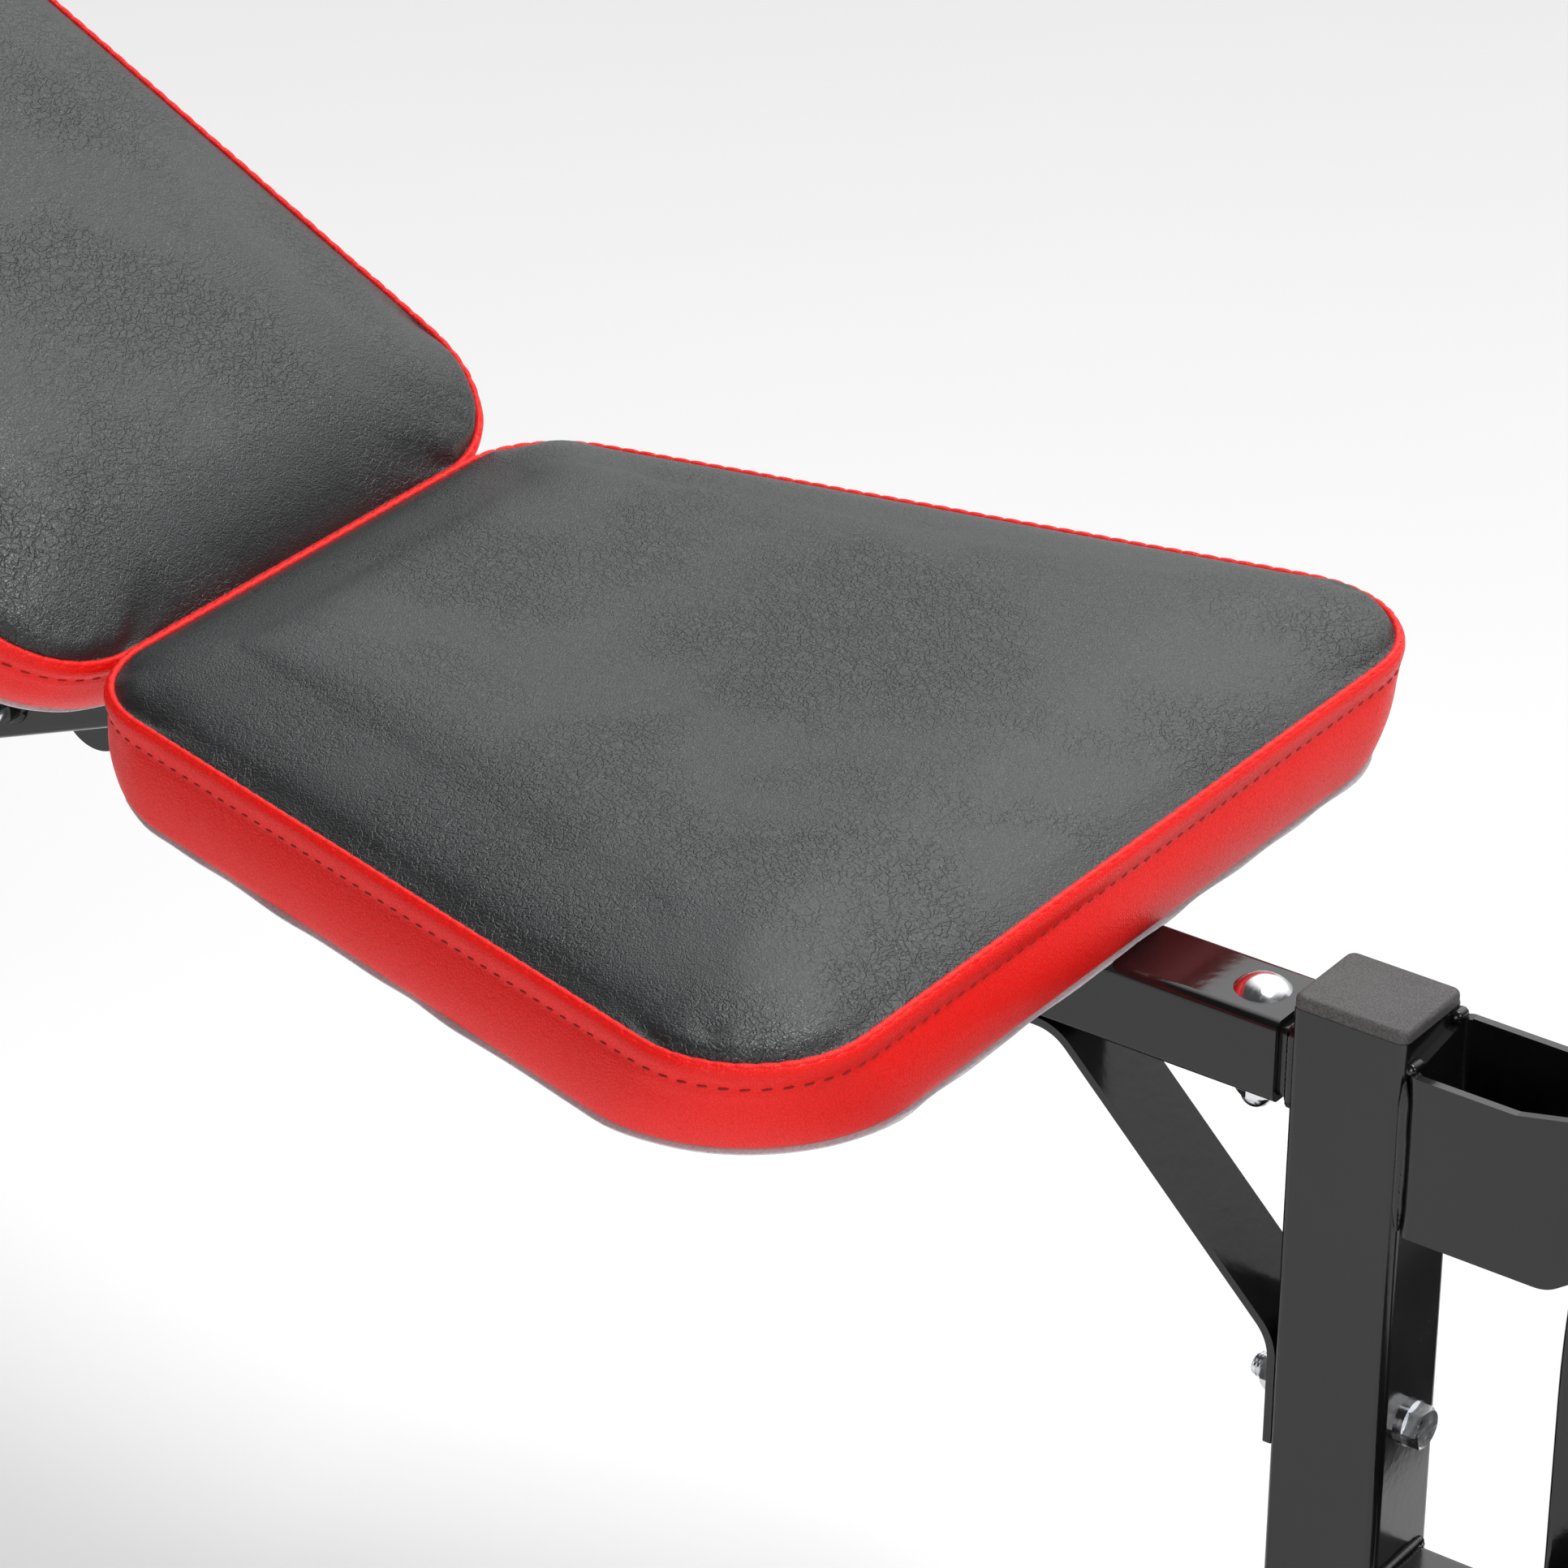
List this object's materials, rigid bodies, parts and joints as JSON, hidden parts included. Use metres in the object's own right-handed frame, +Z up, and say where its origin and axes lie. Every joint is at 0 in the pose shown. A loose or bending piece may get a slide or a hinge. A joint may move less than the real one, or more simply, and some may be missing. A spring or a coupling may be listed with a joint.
{
  "type": "adjustable sit-up bench",
  "caption": "Adjustable decline sit-up bench: padded trapezoid seat, tilting back pad with pin lock, bolted steel frame and a hanging leg arm with foam ankle rollers.",
  "frame": {"origin": "on the floor, under the middle of the bench's overall length and width", "axes": "+X along the bench towards the leg arm, +Y to the left of a person sitting on it, +Z up"},
  "size_m": [1.1677, 0.446, 0.8086],
  "materials": {
    "frame_paint": "gloss black powder coat",
    "zinc": "bright zinc plate",
    "black_plastic": "fine textured matt black plastic",
    "buffer_rubber": "matt black rubber",
    "roller_foam": "matt black closed-cell foam",
    "pad_vinyl": "grained vinyl, charcoal top panel and red sides",
    "plywood": "plain plywood",
    "backing_cloth": "pale grey non-woven lining",
    "nylon": "black nylon"
  },
  "bodies": {
    "frame": {"front_foot": "frame_paint", "front_foot_shoes": "black_plastic", "rear_foot": "frame_paint", "rear_foot_shoes": "black_plastic", "front_post": "frame_paint", "post_cap": "black_plastic", "beam_stub": "frame_paint", "main_beam": "frame_paint", "seat_brace": "frame_paint", "arm_bracket": "frame_paint", "stop_stub": "frame_paint", "stop_buffer": "buffer_rubber", "seat_brackets": "frame_paint", "seat_backing": "backing_cloth", "seat_board": "plywood", "seat_tee_nuts": "zinc", "seat_cushion": "pad_vinyl", "seat_screws": "zinc", "carriage_bolts": "zinc", "beam_washers": "zinc", "dome_nuts": "zinc", "brace_bolt": "zinc", "brace_washers": "zinc", "brace_nut": "zinc", "arm_pivot_bolt": "zinc", "arm_pivot_washers": "zinc", "arm_pivot_nut": "zinc", "hinge_bolt": "zinc", "hinge_washers": "zinc", "hinge_nut": "zinc", "hinge_spacers": "nylon", "lock_sleeve": "frame_paint"},
    "backrest": {"back_rails": "frame_paint", "rail_caps": "black_plastic", "back_cross_plates": "frame_paint", "hinge_sleeves": "frame_paint", "sector_plate": "frame_paint", "back_backing": "backing_cloth", "back_board": "plywood", "back_tee_nuts": "zinc", "back_cushion": "pad_vinyl", "back_screws": "zinc"},
    "lock": {"lock_pin": "zinc", "lock_knob": "black_plastic"},
    "leg_arm": {"leg_arm": "frame_paint", "arm_caps": "black_plastic", "arm_pivot_tube": "frame_paint", "arm_bushes": "nylon", "upper_roller_bar": "frame_paint", "lower_roller_bar": "frame_paint", "upper_roller_spacers": "nylon", "lower_roller_spacers": "nylon", "upper_roller_caps": "black_plastic", "lower_roller_caps": "black_plastic"},
    "upper_left_roller": {"upper_left_roller": "roller_foam"},
    "upper_right_roller": {"upper_right_roller": "roller_foam"},
    "lower_left_roller": {"lower_left_roller": "roller_foam"},
    "lower_right_roller": {"lower_right_roller": "roller_foam"}
  },
  "joints": [
    {"name": "backrest_tilt", "type": "hinge", "parent": "frame", "child": "backrest", "pos_m": [-0.08365, 0, 0.436], "axis": [0, 1, 0], "range_deg": [-43, 0]},
    {"name": "lock_slide", "type": "slide", "parent": "frame", "child": "lock", "axis": [0, 1, 0], "range_m": [0, 0.009]},
    {"name": "leg_arm_swing", "type": "hinge", "parent": "frame", "child": "leg_arm", "pos_m": [0.48065, 0, 0.43], "axis": [0, -1, 0], "range_deg": [0, 80]},
    {"name": "upper_left_spin", "type": "hinge", "parent": "leg_arm", "child": "upper_left_roller", "pos_m": [0.47395, 0, 0.252], "axis": [0, 1, 0], "continuous": true},
    {"name": "upper_right_spin", "type": "hinge", "parent": "leg_arm", "child": "upper_right_roller", "pos_m": [0.47395, 0, 0.252], "axis": [0, 1, 0], "continuous": true},
    {"name": "lower_left_spin", "type": "hinge", "parent": "leg_arm", "child": "lower_left_roller", "pos_m": [0.54584, 0, 0.10429], "axis": [0, 1, 0], "continuous": true},
    {"name": "lower_right_spin", "type": "hinge", "parent": "leg_arm", "child": "lower_right_roller", "pos_m": [0.54584, 0, 0.10429], "axis": [0, 1, 0], "continuous": true}
  ]
}
